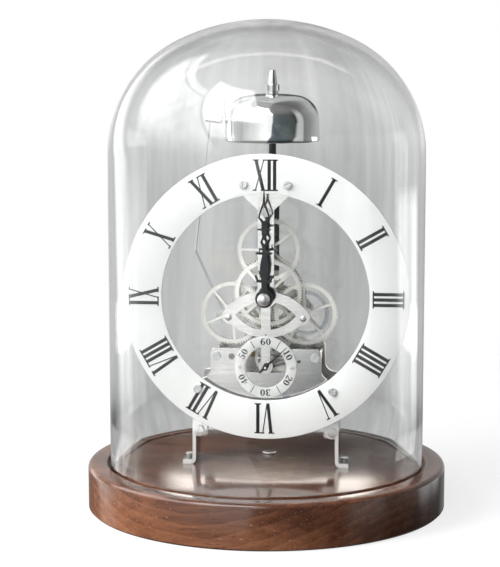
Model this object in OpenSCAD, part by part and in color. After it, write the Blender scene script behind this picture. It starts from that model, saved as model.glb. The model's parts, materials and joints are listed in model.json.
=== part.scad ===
// Skeleton desk clock under a glass dome on a round walnut base, in millimetres.
// The origin is the middle of the underside, +Z is up and the dial faces -Y.
// Movement parts are drawn in a frame whose origin is the hands' centre on the
// front face of the front plate, so y there is the depth behind that face.

/* [Base] */
// diameter of the wooden base
base_d = 200; // [196:1:216]
// height of the wooden base
base_h = 25.5; // [22:0.5:30]

/* [Dome] */
// outer diameter of the glass dome
dome_d = 175; // [173:1:180]
// wall of the glass
dome_wall = 3; // [2.5:0.1:3.5]
// top of the glass above the base
dome_h = 246; // [242:1:262]

/* [Dial] */
// outer diameter of the chapter ring
ring_od = 159; // [152:1:160]
// inner diameter of the chapter ring
ring_id = 115.5; // [112:0.5:118]
// outer diameter of the seconds ring
seconds_od = 34.6; // [32:0.2:36]
// length of the minute hand from its hub
minute_len = 60.3; // [55:0.1:64]
// length of the hour hand from its hub
hour_len = 43; // [38:0.5:48]

/* [Movement] */
// height of the hands' centre above the base
centre_h = 93.5; // [91:0.5:97]
// thickness of the two movement plates
plate_t = 2.5; // [2.2:0.1:2.8]
// clear distance between the plates
plate_gap = 26.5; // [26.5:0.5:30]

/* [Bell] */
// diameter of the bell at its rim
bell_d = 54; // [48:1:58]
// clear height between the bell's nut and the glass
head_room = 25; // [18:1:27]

/* [Hidden] */
$fn = 64;
ym = -4.5;
zc = base_h + centre_h;
base_r = base_d / 2;
dome_r = dome_d / 2;
groove_d = 5;
yb = plate_t + plate_gap;
yr = yb + plate_t;
// arbor places as [x, z] from the hands' centre
pC = [0, 0];
pT = [0, 24];
pL = [-24 * cos(30), -12];
pR = [24 * cos(30), -12];
pQ = [0, -21.6];
pS = [0, -39.5];
pE = pS + 10.5 * [cos(168), sin(168)];
pG = pR + 22 * [cos(-105.3), sin(-105.3)];
pB = pG + 22.5 * [cos(-98.5), sin(-98.5)];
line_a = -101.5;
line_d = [cos(line_a), sin(line_a)];
pP = pE + 8.5 * line_d;
pA = pE + 22 * line_d;
pH = [-27.5, -16.5];
pK = pB + [7.5, -10];
bridge_foot = [-22.5, -36];
cock_foot = [-29, -55.5];
pillar_at = [[-27.5, -34], [27.5, -34], [-31.2, -64.8], [31.2, -64.8], [0, 47]];
ring_screw_r = 64;
ring_screw_a = [79, 101, 234, 306];
leg_x = 37.2;
leg_z = -75.6;
foot_x = 43.8;
foot_y = 5;
// tooth counts and modules
m1 = 0.48;
m2 = 0.5;
m3 = 2 * norm(pS - pQ) / 85;
m4 = 0.25;
// the V-shaped tab at the top of the arm
tab_z = 66;
post_y = yr + 4.2;
seconds_a = 90 - 46;

// turning phase that puts a wheel of nb teeth in mesh with one of na teeth
function bearing(p, q) = atan2(q[1] - p[1], q[0] - p[0]);
function meshed(ph, na, nb, b) = b + 180 + (b - ph) * na / nb + 180 / nb;
ph_cannon = 0;
ph_T = meshed(ph_cannon, 25, 75, bearing(pC, pT));
ph_L = meshed(ph_cannon, 25, 75, bearing(pC, pL));
ph_R = meshed(ph_cannon, 25, 75, bearing(pC, pR));
ph_Tp = 0;
ph_hour = meshed(ph_Tp, 20, 80, bearing(pT, pC));
ph_Rp = 0;
ph_G = meshed(ph_Rp, 52, 36, bearing(pR, pG));
ph_Gp = 0;
ph_B = meshed(ph_Gp, 18, 72, bearing(pG, pB));
ph_centre = 0;
ph_Qp = meshed(ph_centre, 80, 10, bearing(pC, pQ));
ph_Q = 0;
ph_Sp = meshed(ph_Q, 75, 10, bearing(pQ, pS));
ph_S = 0;
ph_Ep = meshed(ph_S, 72, 12, bearing(pS, pE));

// frames and small shapes
module at_clock() {
  translate([0, ym, zc]) children();
}
module slab(y0, y1) {
  translate([0, y1, 0]) rotate([90, 0, 0]) linear_extrude(height = y1 - y0) children();
}
module rod(p, r, y0, y1) {
  translate([p[0], y1, p[1]]) rotate([90, 0, 0]) cylinder(r = r, h = y1 - y0);
}
module dot(p, r) {
  translate(p) circle(r = r);
}
module bar(p, q, w) {
  d = norm(q - p);
  translate(p) rotate(bearing(p, q)) translate([0, -w / 2]) square([d, w]);
}
module rounded(x0, z0, x1, z1, r) {
  translate([x0 + r, z0]) square([x1 - x0 - 2 * r, z1 - z0]);
  translate([x0, z0 + r]) square([x1 - x0, z1 - z0 - 2 * r]);
  for (x = [x0 + r, x1 - r], z = [z0 + r, z1 - r]) dot([x, z], r);
}

// toothed outlines: straight-flanked teeth with running backlash
function tooth_row(n, m, ph) = [for (k = [0 : n - 1], q = [0 : 3])
  let (p = 360 / n,
       r = q == 0 || q == 3 ? n * m / 2 - 1.2 * m : n * m / 2 + 0.8 * m,
       w = q == 0 ? -0.31 : q == 1 ? -0.1 : q == 2 ? 0.1 : 0.31,
       a = ph + (k + w) * p)
  r * [cos(a), sin(a)]];
module toothed(p, n, m, ph) {
  translate(p) polygon(tooth_row(n, m, ph));
}
module spoked(p, n, m, ph, arms, arm_a, arm_w, rim, hub) {
  ri = n * m / 2 - 1.2 * m - rim;
  difference() {
    toothed(p, n, m, ph);
    dot(p, ri);
  }
  dot(p, hub);
  translate(p) for (k = [0 : arms - 1])
    rotate(arm_a + k * 360 / arms) translate([hub / 2, -arm_w / 2]) square([ri + 0.3 - hub / 2, arm_w]);
}

// flat spiral as one unbroken strip
function spiral_edge(r0, r1, turns, steps, side) = [for (k = [0 : steps])
  let (t = k / steps, r = r0 + (r1 - r0) * t + side, a = 360 * turns * t)
  r * [cos(a), sin(a)]];
function backwards(v) = [for (k = [len(v) - 1 : -1 : 0]) v[k]];
module spiral(p, r0, r1, turns, steps, t, a0) {
  translate(p) rotate(a0) polygon(concat(spiral_edge(r0, r1, turns, steps, t / 2),
    backwards(spiral_edge(r0, r1, turns, steps, -t / 2))));
}
// least gap between neighbouring turns, measured on the strip's points
function turn_gap(r0, r1, turns, steps, t) =
  let (o = spiral_edge(r0, r1, turns, steps, t / 2),
       i = spiral_edge(r0, r1, turns, steps, -t / 2),
       n = steps / turns)
  min([for (k = [0 : steps - n]) norm(i[k + n] - o[k])]);

// screw with a slotted head whose face is at y = yf and that points to +y
module screw(p, rh, hh, rs, yf, len, slot_a) {
  difference() {
    rod(p, rh, yf, yf + hh);
    slab(yf - 1, yf + 0.5 * hh) translate(p) rotate(slot_a) square([2.4 * rh, 0.28 * rh], center = true);
  }
  rod(p, rs, yf + hh, yf + hh + len);
}
module screw_back(p, rh, hh, rs, yf, len, slot_a) {
  difference() {
    rod(p, rh, yf - hh, yf);
    slab(yf - 0.5 * hh, yf + 1) translate(p) rotate(slot_a) square([2.4 * rh, 0.28 * rh], center = true);
  }
  rod(p, rs, yf - hh - len, yf - hh);
}

// wooden base with the groove for the dome
module base_plinth() {
  color("#6b4026") difference() {
    rotate_extrude() union() {
      translate([0, 0.5]) square([base_r - 2.5, base_h - 0.5]);
      translate([0, 1.5]) square([base_r, base_h - 4]);
      translate([base_r - 2.5, base_h - 2.5]) circle(r = 2.5);
      translate([base_r - 2.5, 0.5]) square([1.5, 2]);
    }
    translate([0, 0, -1]) cylinder(r = base_r - 9, h = 3);
    translate([0, 0, base_h - groove_d]) difference() {
      cylinder(r = dome_r + 1.6, h = groove_d + 1);
      translate([0, 0, -1]) cylinder(r = dome_r - dome_wall - 1.2, h = groove_d + 3);
    }
    for (s = [-1, 1])
      translate([s * foot_x, ym + foot_y, base_h - 9]) cylinder(r = 1.25, h = 10);
    translate([0, 17, base_h - 10.5]) cylinder(r = 1.55, h = 12);
  }
}
module felt_pad() {
  color("#3b4a3a") cylinder(r = base_r - 9.2, h = 2);
}
module base_stud() {
  color("#c9cacb") translate([0, 17, base_h]) {
    cylinder(r = 3.8, h = 0.9);
    translate([0, 0, -10]) cylinder(r = 1.5, h = 10);
  }
}

// glass dome: straight wall, shoulder arc and crown arc
shoulder_r = dome_r - 18.1;
crown_r = shoulder_r + 41.6;
shoulder_z = base_h + dome_h - crown_r + sqrt(41.6 * 41.6 - 18.1 * 18.1);
crown_z = base_h + dome_h - crown_r;
crown_a = atan2(shoulder_z - crown_z, 18.1);
// half section: wall of radius r from z0 to zs, arc of radius rs round [ox, zs], then arc of
// radius rc round [0, zr], which meet at the angle a
module cap_half(z0, r, zs, ox, rs, zr, rc, a) {
  translate([0, z0]) square([r, zs - z0]);
  intersection() {
    translate([ox, zs]) circle(r = rs, $fn = 128);
    translate([0, zs]) square([r, r]);
  }
  intersection() {
    translate([0, zr]) circle(r = rc, $fn = 128);
    polygon([[0, zr], 2 * rc * [cos(a), sin(a)] + [0, zr], [0, zr + 2 * rc]]);
    translate([0, zs - 1]) square([r, 2 * r]);
  }
}
module dome_half(cut) {
  cap_half(base_h - groove_d - (cut > 0 ? 1 : 0), dome_r - cut, shoulder_z, 18.1, shoulder_r - cut,
    crown_z, crown_r - cut, crown_a);
}
module glass_dome() {
  color("#dfe9ea") rotate_extrude() difference() {
    dome_half(0);
    dome_half(dome_wall);
  }
}

// bent legs between the front plate and the base
module leg(s) {
  zf = -centre_h;
  color("#d2d3d5") at_clock() {
    difference() {
      slab(-2, 0) intersection() {
        union() {
          dot([s * leg_x, leg_z], 3.8);
          translate([s < 0 ? -41 : 37.2, leg_z]) square([3.8, 8]);
          translate([s < 0 ? -37.4 : 32.5, leg_z]) square([4.9, 8]);
        }
        translate([-60, leg_z - 6]) square([120, 14]);
      }
      rod([s * leg_x, leg_z], 1.4, -3, 1);
    }
    difference() {
      slab(-2, 16) mirror([s < 0 ? 0 : 1, 0]) difference() {
        union() {
          translate([-41, zf + 2.5]) square([2, leg_z + 8 - zf - 2.5]);
          translate([-46.3, zf]) square([4.8, 2]);
          intersection() {
            dot([-41.5, zf + 2.5], 2.5);
            translate([-41.5, zf]) square([2.5, 2.5]);
          }
        }
        dot([-41.5, zf + 2.5], 0.5);
      }
      translate([s * foot_x, foot_y, zf - 1]) cylinder(r = 1.4, h = 4);
    }
  }
}
module left_leg() {
  leg(-1);
}
module right_leg() {
  leg(1);
}
module leg_screws() {
  color("#c3c4c6") at_clock() for (s = [-1, 1])
    screw([s * leg_x, leg_z], 2.65, 1.4, 1.25, -3.4, 4.2, s < 0 ? 70 : 25);
}
module foot_screws() {
  color("#c3c4c6") at_clock() for (s = [-1, 1])
    translate([s * foot_x, foot_y, -centre_h + 2]) {
      difference() {
        cylinder(r = 2.1, h = 1.5);
        translate([-4, -0.35, 0.8]) cube([8, 0.7, 2]);
      }
      translate([0, 0, -10]) cylinder(r = 1.2, h = 10);
    }
}

// outline that both movement plates share
module eye(zm, a, b) {
  r = (a * a + b * b) / (2 * b);
  intersection() {
    dot([0, zm - r + b], r);
    dot([0, zm + r - b], r);
  }
}
module plate_outline() {
  difference() {
    eye(-10, 24.5, 13);
    difference() {
      eye(-10.7, 16.8, 8.1);
      translate([-2.6, -30]) square([5.2, 40]);
    }
  }
  dot(pL, 3.4);
  dot(pR, 3.4);
  dot(pC, 6.2);
  dot(pS, 17.1);
  translate([-4.5, 0]) square([9, 51]);
  rounded(-31, -60, 31, -29.3, 3);
  rounded(-38.7, -76, 38.7, -47, 2);
  for (s = [-1, 1]) {
    difference() {
      translate([s < 0 ? -37 : 30.5, -48]) square([6.5, 7]);
      dot([s * 37, -41], 6);
    }
    rounded(s < 0 ? -38.7 : 32.5, -79.4, s < 0 ? -32.5 : 38.7, -70, 1.5);
  }
}
module front_plate() {
  color("#cfccc8") at_clock() difference() {
    slab(0, plate_t) difference() {
      union() {
        plate_outline();
        polygon([[4.5, 48.2], [14.2, 57.5], [17, tab_z], [-17, tab_z], [-14.2, 57.5],
          [-4.5, 48.2]]);
      }
      difference() {
        intersection() {
          dot(pS, 11.2);
          translate([-15, pS[1] - 3.3]) square([30, 30]);
        }
        dot(pS, 4);
        translate([-2.6, pS[1]]) square([5.2, 20]);
      }
      dot([-19, -34], 1.8);
      dot([18.6, -36.2], 1);
    }
    rod(pC, 3.05, -1, 4);
    for (p = [pT, pL, pR, pG]) rod(p, 0.84, -1, 4);
    rod(pQ, 0.64, -1, 4);
    rod(pS, 0.85, -1, 4);
    rod(pB, 1.95, -1, 4);
    for (p = pillar_at) rod(p, 1.3, -1, 4);
    for (a = ring_screw_a) rod(ring_screw_r * [cos(a), sin(a)], 1.05, -1, 4);
    for (s = [-1, 1]) {
      rod([s * leg_x, leg_z], 1.3, -1, 4);
      rod(pS + [s * 14.55, 0], 0.65, -1, 4);
    }
  }
}
module back_plate() {
  color("#bdbab6") at_clock() difference() {
    slab(yb, yr) {
      plate_outline();
      dot(pH, 4);
      bar(pL, pH, 5);
    }
    rod(pC, 2.05, yb - 1, yr + 1);
    for (p = [pT, pR, pG]) rod(p, 0.84, yb - 1, yr + 1);
    rod(pL, 1.24, yb - 1, yr + 1);
    rod(pQ, 0.64, yb - 1, yr + 1);
    rod(pS, 0.85, yb - 1, yr + 1);
    rod(pE, 0.75, yb - 1, yr + 1);
    rod(pB, 2.35, yb - 1, yr + 1);
    rod(pP, 0.5, yb - 1, yr + 1);
    rod(pA, 0.5, yb - 1, yr + 1);
    rod(pH, 1.25, yb - 1, yr + 1);
    rod(pK, 1.25, yb - 1, yr + 1);
    for (p = pillar_at) rod(p, 1.3, yb - 1, yr + 1);
    for (p = [bridge_foot, cock_foot]) rod(p, 1.05, yb - 1, yr + 1);
    for (z = [14.5, 35.5]) rod([0, z], 1.05, yb - 1, yr + 1);
  }
}
module pillars() {
  color("#d6c48f") at_clock() for (p = pillar_at) difference() {
    rod(p, 2.6, plate_t, yb);
    rod(p, 1.3, plate_t - 1, plate_t + 7);
    rod(p, 1.3, yb - 7, yb + 1);
  }
}
module pillar_screws() {
  color("#c3c4c6") at_clock() for (k = [0 : 4]) {
    screw(pillar_at[k], 2.5, 1.2, 1.2, -1.2, plate_t + 6, 30 + 50 * k);
    screw_back(pillar_at[k], 2.5, 1.2, 1.2, yr + 1.2, plate_t + 6, 10 + 40 * k);
  }
}

// dial
module chapter_ring() {
  color("#f4f4f2") at_clock() difference() {
    slab(-4.5, -3) difference() {
      circle(r = ring_od / 2, $fn = 128);
      circle(r = ring_id / 2, $fn = 128);
    }
    for (a = ring_screw_a) rod(ring_screw_r * [cos(a), sin(a)], 1.3, -6, 0);
  }
}
module ring_standoffs() {
  color("#cfcfcf") at_clock() for (a = ring_screw_a) difference() {
    rod(ring_screw_r * [cos(a), sin(a)], 2.2, -3, 0);
    rod(ring_screw_r * [cos(a), sin(a)], 1.3, -4, 1);
  }
}
module ring_screws() {
  color("#c3c4c6") at_clock() for (k = [0 : 3])
    screw(ring_screw_r * [cos(ring_screw_a[k]), sin(ring_screw_a[k])], 2.3, 1.2, 1,
      -5.7, 4.5 + plate_t - 0.3, 20 + 70 * k);
}
module seconds_ring() {
  color("#f2f2f0") at_clock() difference() {
    slab(-1, 0) difference() {
      dot(pS, seconds_od / 2);
      dot(pS, 11.8);
    }
    for (s = [-1, 1]) rod(pS + [s * 14.55, 0], 0.65, -3, 1);
  }
}
module seconds_rivets() {
  color("#cfcfcf") at_clock() for (s = [-1, 1]) {
    rod(pS + [s * 14.55, 0], 0.95, -1.4, -1);
    rod(pS + [s * 14.55, 0], 0.6, -1, plate_t - 0.3);
  }
}

// bell and striking work
bell_h = 27;
nut_h = 13.5;
bell_top = dome_h - dome_wall - head_room - nut_h - centre_h;
bell_z = bell_top - bell_h;
bell_wall = 1.3;
bell_ox = bell_d / 2 - 15;
bell_crown = (bell_ox * bell_ox + 31) / 2;
bell_seat = bell_wall + bell_crown - bell_wall - sqrt(pow(bell_crown - bell_wall, 2) - 3.2 * 3.2);
module bell_half(cut) {
  cap_half(bell_z - (cut > 0 ? 1 : 0), bell_d / 2 - cut, bell_z + 11, bell_ox, 15 - cut,
    bell_top - bell_crown, bell_crown - cut, atan2(bell_crown - 16, bell_ox));
}
module bell() {
  color("#d9dadc") at_clock() translate([0, post_y, 0]) rotate_extrude() union() {
    difference() {
      bell_half(0);
      bell_half(bell_wall);
      translate([0, bell_z - 2]) square([1.6, 40]);
    }
    translate([bell_d / 2 - 0.7, bell_z + 0.8]) circle(r = 0.8);
  }
}
module bell_post() {
  color("#8d8f92") at_clock() difference() {
    union() {
      translate([-3.4, yr, 10]) cube([6.8, 5.5, 30]);
      translate([0, post_y, 38]) cylinder(r = 2.1, h = bell_top - bell_seat - 38);
      translate([0, post_y, bell_top - bell_seat - 4.5]) cylinder(r = 3.2, h = 4.5);
      translate([0, post_y, bell_top - 2]) cylinder(r = 1.5, h = 10);
    }
    for (z = [14.5, 35.5]) rod([0, z], 1.1, yr - 1, yr + 7);
  }
}
module bell_nut() {
  color("#d9dadc") at_clock() translate([0, post_y, bell_top]) difference() {
    rotate_extrude() polygon([[0, 0], [3.6, 0], [3.6, 0.7], [2.9, 1.1], [3.95, 1.4], [3.95, 4.8],
      [2.95, 5.1], [1.75, nut_h - 0.6], [1.2, nut_h], [0, nut_h]]);
    translate([0, 0, -1]) cylinder(r = 1.55, h = 9.4);
  }
}
module post_screws() {
  color("#c3c4c6") at_clock() for (z = [14.5, 35.5])
    screw_back([0, z], 1.9, 1.2, 1, yr + 6.7, 7.6, 35 + z);
}
wire_bend = [-44.4, 20.7];
wire_end = [-bell_d / 2 - 8.6, bell_z + 12.5];
wire_lean = 90 - bearing(wire_bend, wire_end);
module wire_leg(p, q, r, over) {
  translate([p[0], post_y, p[1]]) rotate([0, 90 - bearing(p, q), 0]) translate([0, 0, -over])
    cylinder(r = r, h = norm(q - p) + over);
}
module hammer() {
  color("#c8c9cb") at_clock() difference() {
    union() {
      wire_leg(pH, wire_bend, 0.62, 0);
      wire_leg(wire_bend, wire_end, 0.58, 0.5);
      rod(pH, 2.8, yr + 0.6, yr + 5);
      slab(yr + 0.6, yr + 1.8) bar(pH, pH + 7 * [cos(75), sin(75)], 1.4);
    }
    rod(pH, 1.55, yr - 1, yr + 7);
  }
}
module hammer_head() {
  color("#b98d4a") at_clock() translate([wire_end[0], post_y, wire_end[1]]) rotate([0, wire_lean, 0])
    difference() {
      rotate([0, 90, 0]) translate([0, 0, -2.4]) cylinder(r = 2.4, h = 9);
      translate([0, 0, -5]) cylinder(r = 0.65, h = 5);
    }
}
module hammer_stud() {
  color("#c3c4c6") at_clock() {
    rod(pH, 1.2, yb + 0.3, yr);
    rod(pH, 1.5, yr, yr + 5.3);
    rod(pH, 2.3, yr + 5.3, yr + 6.1);
  }
}

// hands: half widths along the hand, closed by mirroring
minute_side = [[0, 1.4], [9.2, 1.4], [9.4, 4.2], [10.5, 4.2], [10.7, 1.4], [13, 1.9], [17.4, 2.3],
  [21, 1.8], [24.6, 0.95], [25, 4.6], [25.8, 4.6], [26.1, 0.9], [28.6, 0.9], [31.7, 2.05],
  [34.6, 1], [36.6, 1.3], [38, 1.3], [38.2, 3.7], [39, 3.7], [39.2, 1.6], [41, 1.1],
  [42.6, 1.6], [45.2, 3.35], [48, 2.6], [53.2, 0.75], [60.3, 0.25]];
// the hour hand keeps the same lower part and ends in a plain tip
hour_side = concat([for (k = [0 : 14]) minute_side[k]], [[38, 0.7], [43, 0.25]]);
function flipped(v) = backwards([for (p = v) [-p[0], p[1]]]);
function hook(k) = [[2.5, 25.4 * k], [3.3, 25.4 * k], [2.7, 26.9 * k], [2.9, 28.6 * k], [2.2, 27.6 * k]];
function curl(k) = [[3, 10.2 * k], [4.1, 10.2 * k], [5.2, 13 * k], [4.5, 13.4 * k]];
module hand_outline(row, k) {
  side = [for (v = row) [v[1], v[0] * k]];
  polygon(concat(side, flipped(side)));
  polygon(hook(k));
  polygon(flipped(hook(k)));
  polygon(curl(k));
  polygon(flipped(curl(k)));
}
module tip_hole(k) {
  polygon([[0, 43.2 * k], [2.3, 45.3 * k], [1.7, 47.8 * k], [0, 52 * k], [-1.7, 47.8 * k], [-2.3, 45.3 * k]]);
}
module lozenge_hole(k) {
  polygon([[0, 30.2 * k], [1, 31.7 * k], [0, 33.3 * k], [-1, 31.7 * k]]);
}
module minute_hand() {
  k = minute_len / 60.3;
  color("#161616") at_clock() slab(-10, -9.4) difference() {
    union() {
      hand_outline(minute_side, k);
      circle(r = 3.6);
    }
    tip_hole(k);
    lozenge_hole(k);
    circle(r = 1.32);
  }
}
module hour_hand() {
  k = hour_len / 43;
  color("#161616") at_clock() slab(-8.3, -7.7) difference() {
    union() {
      hand_outline(hour_side, k);
      circle(r = 5);
    }
    lozenge_hole(k);
    circle(r = 2.62);
  }
}
module seconds_hand() {
  color("#161616") at_clock() slab(-3.4, -3) translate(pS) rotate(seconds_a - 90) difference() {
    union() {
      polygon([[-0.55, -4.3], [0.55, -4.3], [0.45, 0], [0.2, 16.6], [-0.2, 16.6], [-0.45, 0]]);
      circle(r = 1.6);
    }
    circle(r = 0.62);
  }
}
module hand_nut() {
  color("#d9dadc") at_clock() translate([0, -10, 0]) rotate([90, 0, 0]) difference() {
    union() {
      cylinder(r = 2.6, h = 1);
      intersection() {
        translate([0, 0, 1.6]) sphere(r = 3.6);
        translate([-5, -5, 0.4]) cube([10, 10, 10]);
      }
    }
    translate([0, 0, -1]) cylinder(r = 1.35, h = 3.2);
  }
}

// centre work
module centre_arbor() {
  color("#b8babd") at_clock() {
    rod(pC, 1.3, -11.8, -9.4);
    rod(pC, 2, -9.4, yr + 1.9);
    rod(pC, 3.5, 18.2, 21.6);
    rod(pC, 1.4, yr + 1.9, yr + 7.5);
  }
}
module cannon_pinion() {
  color("#d6c48f") at_clock() slab(16.2, 18.2) difference() {
    toothed(pC, 25, m1, ph_cannon);
    dot(pC, 2.02);
  }
}
module centre_wheel() {
  color("#d6c48f") at_clock() slab(21.6, 22.8) difference() {
    spoked(pC, 80, m1, ph_centre, 4, 10, 1.6, 2, 4.2);
    dot(pC, 2.02);
  }
}
module setting_knob() {
  color("#d6c48f") at_clock() difference() {
    union() {
      rod(pC, 3.6, yr + 1.9, yr + 3.4);
      slab(yr + 3.4, yr + 8.2) for (k = [0 : 3]) rotate(22.5 * k) square([10.4, 10.4], center = true);
    }
    rod(pC, 1.42, yr + 1, yr + 7.6);
  }
}
module hour_pipe() {
  color("#d6c48f") at_clock() difference() {
    union() {
      rod(pC, 2.6, -8.5, -7.7);
      rod(pC, 3, -7.7, 15.4);
      rod(pC, 4.6, 12.8, 14);
    }
    rod(pC, 2.05, -9, 16);
  }
}
module hour_wheel() {
  color("#dcd8c8") at_clock() slab(14, 15.2) difference() {
    spoked(pC, 80, m1, ph_hour, 4, 43, 1.7, 2.1, 5);
    dot(pC, 3.02);
  }
}

// arbor body between the plates with a pivot at each end
module arbor(p, r, rp) {
  rod(p, rp, 0.3, plate_t + 0.2);
  rod(p, r, plate_t + 0.2, yb - 0.2);
  rod(p, rp, yb - 0.2, yr - 0.3);
}
module minute_wheel() {
  color("#dcd8c8") at_clock() slab(16.6, 17.8) difference() {
    spoked(pT, 75, m1, ph_T, 5, 36, 1.4, 2.1, 3.4);
    dot(pT, 1.52);
  }
}
module minute_arbor() {
  color("#b8babd") at_clock() {
    arbor(pT, 1.5, 0.8);
    slab(13.6, 15.6) toothed(pT, 20, m1, ph_Tp);
    rod(pT, 2.6, 15.6, 16.6);
  }
}
module strike_wheel() {
  color("#dcd8c8") at_clock() slab(16.6, 17.8) difference() {
    spoked(pL, 75, m1, ph_L, 5, 59, 1.4, 2.1, 3.4);
    dot(pL, 1.52);
  }
}
module strike_arbor() {
  color("#b8babd") at_clock() {
    rod(pL, 0.8, 0.3, plate_t + 0.2);
    rod(pL, 1.5, plate_t + 0.2, yb - 0.2);
    rod(pL, 2.6, 15.6, 16.6);
    rod(pL, 1.2, yb - 0.2, yr + 0.6);
    slab(yr + 0.6, yr + 1.8) {
      dot(pL, 2);
      for (k = [0 : 2]) bar(pL, pL + 4.2 * [cos(20 + 120 * k), sin(20 + 120 * k)], 1.2);
    }
  }
}
module intermediate_wheel() {
  color("#dcd8c8") at_clock() slab(16.6, 17.8) difference() {
    spoked(pR, 75, m1, ph_R, 5, 22, 1.4, 2.1, 3.4);
    dot(pR, 1.52);
  }
}
module intermediate_arbor() {
  color("#b8babd") at_clock() {
    arbor(pR, 1.5, 0.8);
    rod(pR, 2.6, 17.8, 19);
    slab(19, 20.8) spoked(pR, 52, m2, ph_Rp, 5, 22, 1.4, 1.6, 3.4);
  }
}
module drive_wheel() {
  color("#d6c48f") at_clock() slab(19.3, 20.5) difference() {
    spoked(pG, 36, m2, ph_G, 4, 0, 1.8, 1.6, 3.2);
    dot(pG, 1.52);
  }
}
module drive_arbor() {
  color("#b8babd") at_clock() {
    arbor(pG, 1.5, 0.8);
    slab(13, 15.4) toothed(pG, 18, m2, ph_Gp);
    rod(pG, 2.6, 18.2, 19.3);
  }
}

// mainspring barrel and winding work
module mainspring_barrel() {
  color("#d6c48f") at_clock() {
    slab(13.4, 15) difference() {
      toothed(pB, 72, m2, ph_B);
      dot(pB, 2.38);
    }
    slab(5.4, 13.4) difference() {
      dot(pB, 16.5);
      dot(pB, 15.2);
    }
    slab(4.2, 5.4) difference() {
      dot(pB, 16.5);
      dot(pB, 15.9);
    }
  }
}
module barrel_cover() {
  color("#cdb97f") at_clock() slab(4.3, 5.4) difference() {
    dot(pB, 15.85);
    dot(pB, 2.38);
  }
}
echo(mainspring_turn_gap = turn_gap(3.2, 14.7, 6, 108, 0.5));
module mainspring() {
  color("#7d8794") at_clock() slab(6, 13.4) spiral(pB, 3.2, 14.7, 6, 108, 0.5, 0);
}
module barrel_arbor() {
  color("#b8babd") at_clock() {
    rod(pB, 1.9, 0.3, plate_t + 0.6);
    rod(pB, 2.3, plate_t + 0.6, yr + 0.4);
    slab(yr + 0.4, yr + 11) translate(pB) square(3.2, center = true);
  }
}
function ratchet_row(n, r0, r1) = [for (k = [0 : n - 1], q = [0, 1])
  let (a = 360 * (k + 0.85 * q) / n) (q == 0 ? r0 : r1) * [cos(a), sin(a)]];
module ratchet_wheel() {
  color("#b8babd") at_clock() slab(yr + 0.4, yr + 1.9) difference() {
    translate(pB) polygon(ratchet_row(24, 6.6, 7.5));
    translate(pB) square(3.3, center = true);
  }
}
module click() {
  a = bearing(pK, pB);
  color("#b8babd") at_clock() slab(yr + 0.4, yr + 1.9) difference() {
    union() {
      dot(pK, 2.6);
      translate(pK) rotate(a + 48) polygon([[0, -1.6], [7.4, -1.5], [8.1, -0.2], [7, 0.7], [0, 1.8]]);
      translate(pK) rotate(a + 180) translate([0, -0.8]) square([5, 1.6]);
    }
    dot(pK, 1.55);
  }
}
module click_stud() {
  color("#c3c4c6") at_clock() {
    rod(pK, 1.2, yb + 0.3, yr);
    rod(pK, 1.5, yr, yr + 2.2);
    rod(pK, 2.3, yr + 2.2, yr + 3.1);
  }
}

// going train, escapement and balance
module third_wheel() {
  color("#d6c48f") at_clock() {
    arbor(pQ, 1.1, 0.6);
    slab(21.2, 23.2) toothed(pQ, 10, m1, ph_Qp);
    slab(24.2, 25.2) spoked(pQ, 75, m3, ph_Q, 4, 45, 1.8, 1.9, 3);
  }
}
module fourth_wheel() {
  color("#d6c48f") at_clock() {
    rod(pS, 0.6, -3.6, -3);
    rod(pS, 0.8, -3, yr - 0.3);
    slab(23.8, 25.6) toothed(pS, 10, m3, ph_Sp);
    slab(26.6, 27.4) spoked(pS, 72, m4, ph_S, 4, 0, 1.3, 1.3, 2);
  }
}
function club_row(n, r0, r1) = [for (k = [0 : n - 1], q = [0 : 3])
  let (a = 360 * (k + [0, 0.3, 0.42, 0.46][q]) / n) (q == 0 || q == 3 ? r0 : r1) * [cos(a), sin(a)]];
module escape_wheel() {
  color("#d6c48f") at_clock() {
    rod(pE, 0.7, 26, yr + 4.2);
    rod(pE, 0.45, yr + 4.2, yr + 5.9);
    slab(26.2, 27.8) toothed(pE, 12, m4, ph_Ep);
    slab(yr + 1.5, yr + 2.3) {
      translate(pE) difference() {
        polygon(club_row(15, 3.9, 5.2));
        circle(r = 3.1);
      }
      dot(pE, 1.4);
      for (k = [0 : 3]) bar(pE, pE + 3.3 * [cos(90 * k), sin(90 * k)], 0.8);
    }
  }
}
stone = [for (s = [-1, 1]) pE + 6.5 * [cos(line_a + s * 48), sin(line_a + s * 48)]];
module pallet_lever() {
  f = pP + 8.4 * line_d;
  n = [-line_d[1], line_d[0]];
  color("#b8babd") at_clock() {
    rod(pP, 0.45, yb + 0.5, yr + 0.3);
    rod(pP, 0.8, yr + 0.3, yr + 4.2);
    rod(pP, 0.45, yr + 4.2, yr + 5.9);
    slab(yr + 2.7, yr + 3.5) {
      dot(pP, 1.5);
      for (s = [0, 1]) {
        bar(pP, stone[s], 1);
        dot(stone[s], 0.6);
      }
      bar(pP, f, 1.1);
      bar(f - 1.3 * n, f + 1.3 * n, 0.8);
      for (s = [-1, 1]) bar(f + s * 1 * n, f + s * 1 * n + 1.5 * line_d, 0.6);
    }
    for (s = [0, 1]) rod(stone[s], 0.35, yr + 1.4, yr + 2.7);
  }
}
module escape_bridge() {
  color("#cfccc8") at_clock() difference() {
    union() {
      slab(yr + 4.4, yr + 6) {
        bar(bridge_foot, pE, 3.6);
        bar(bridge_foot, pP, 3.2);
        dot(pE, 2.2);
        dot(pP, 2.1);
        dot(bridge_foot, 2.6);
      }
      rod(bridge_foot, 2.6, yr, yr + 4.4);
    }
    rod(bridge_foot, 1.1, yr - 1, yr + 7);
    rod(pE, 0.5, yr + 3, yr + 7);
    rod(pP, 0.5, yr + 3, yr + 7);
  }
}
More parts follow.
